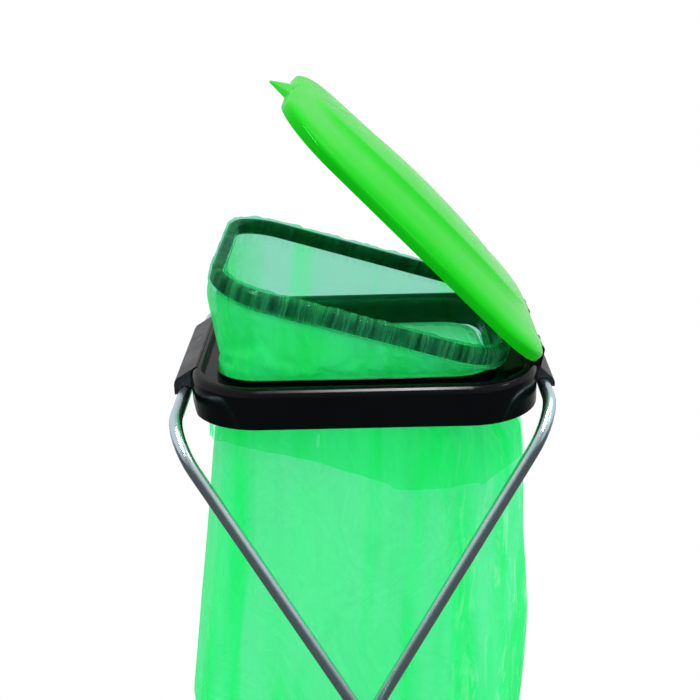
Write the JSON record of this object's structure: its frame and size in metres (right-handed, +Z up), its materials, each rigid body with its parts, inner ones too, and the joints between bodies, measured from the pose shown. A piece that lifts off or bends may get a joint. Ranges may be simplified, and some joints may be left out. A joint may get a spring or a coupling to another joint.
{
  "type": "plastic bag holder",
  "caption": "Folding bag stand: scissor legs of bent tube carry a moulded rim with a hinged clamp ring, a fitted film bag and a hinged lid.",
  "frame": {"origin": "on the floor under the middle of the open stand's bounding box", "axes": "+Z up; +X towards the lid's hinge; Y along the tubes that the rim hangs on, with the front at -Y"},
  "size_m": [0.4806, 0.4776, 1.212],
  "materials": {
    "zinc_tube": "zinc-plated steel tube, satin to bright",
    "fastener_steel": "bright steel",
    "black_gloss_plastic": "glossy black moulding",
    "charcoal_plastic": "satin charcoal moulding",
    "green_gloss_plastic": "glossy bright green moulding",
    "bag_film": "thin translucent green film"
  },
  "bodies": {
    "outer_legs": {"outer_leg_frame": "zinc_tube", "outer_foot_cap_front": "charcoal_plastic", "outer_foot_cap_back": "charcoal_plastic", "pivot_bolt_front": "fastener_steel", "pivot_bolt_back": "fastener_steel", "pivot_outer_washer_front": "fastener_steel", "pivot_outer_washer_back": "fastener_steel", "pivot_spacer_front": "fastener_steel", "pivot_spacer_back": "fastener_steel", "pivot_inner_washer_front": "fastener_steel", "pivot_inner_washer_back": "fastener_steel", "pivot_nut_front": "fastener_steel", "pivot_nut_back": "fastener_steel"},
    "inner_legs": {"inner_leg_frame": "zinc_tube", "inner_foot_cap_front": "charcoal_plastic", "inner_foot_cap_back": "charcoal_plastic"},
    "rim": {"rim_frame": "black_gloss_plastic", "left_clip": "charcoal_plastic", "right_clip": "charcoal_plastic", "left_clip_screw_front": "fastener_steel", "left_clip_screw_back": "fastener_steel", "right_clip_screw_front": "fastener_steel", "right_clip_screw_back": "fastener_steel", "hinge_pin_front": "fastener_steel", "hinge_pin_back": "fastener_steel", "bag_body": "bag_film", "bag_collar": "bag_film"},
    "ring": {"clamp_ring": "black_gloss_plastic"},
    "lid": {"lid_shell": "green_gloss_plastic"}
  },
  "joints": [
    {"name": "leg_fold", "type": "hinge", "parent": "outer_legs", "child": "inner_legs", "pos_m": [0, 0, 0.4267], "axis": [0, -1, 0], "range_deg": [0, 50], "deforming": ["bag_body"]},
    {"name": "rim_swing", "type": "hinge", "parent": "inner_legs", "child": "rim", "pos_m": [0.2232, 0, 0.8457], "axis": [0, 1, 0], "range_deg": [0, 118]},
    {"name": "lid_hinge", "type": "hinge", "parent": "rim", "child": "lid", "pos_m": [0.2185, 0, 0.889], "axis": [0, 1, 0], "range_deg": [-46.4, 60]},
    {"name": "clamp_ring_hinge", "type": "hinge", "parent": "rim", "child": "ring", "pos_m": [0.2185, 0, 0.889], "axis": [0, 1, 0], "range_deg": [-17, 22], "deforming": ["bag_collar"]}
  ],
  "couplings": [
    {"joint": "rim_swing", "follows": "leg_fold", "ratio": 2.36},
    {"joint": "clamp_ring_hinge", "follows": "lid_hinge", "ratio": 0.36638}
  ]
}
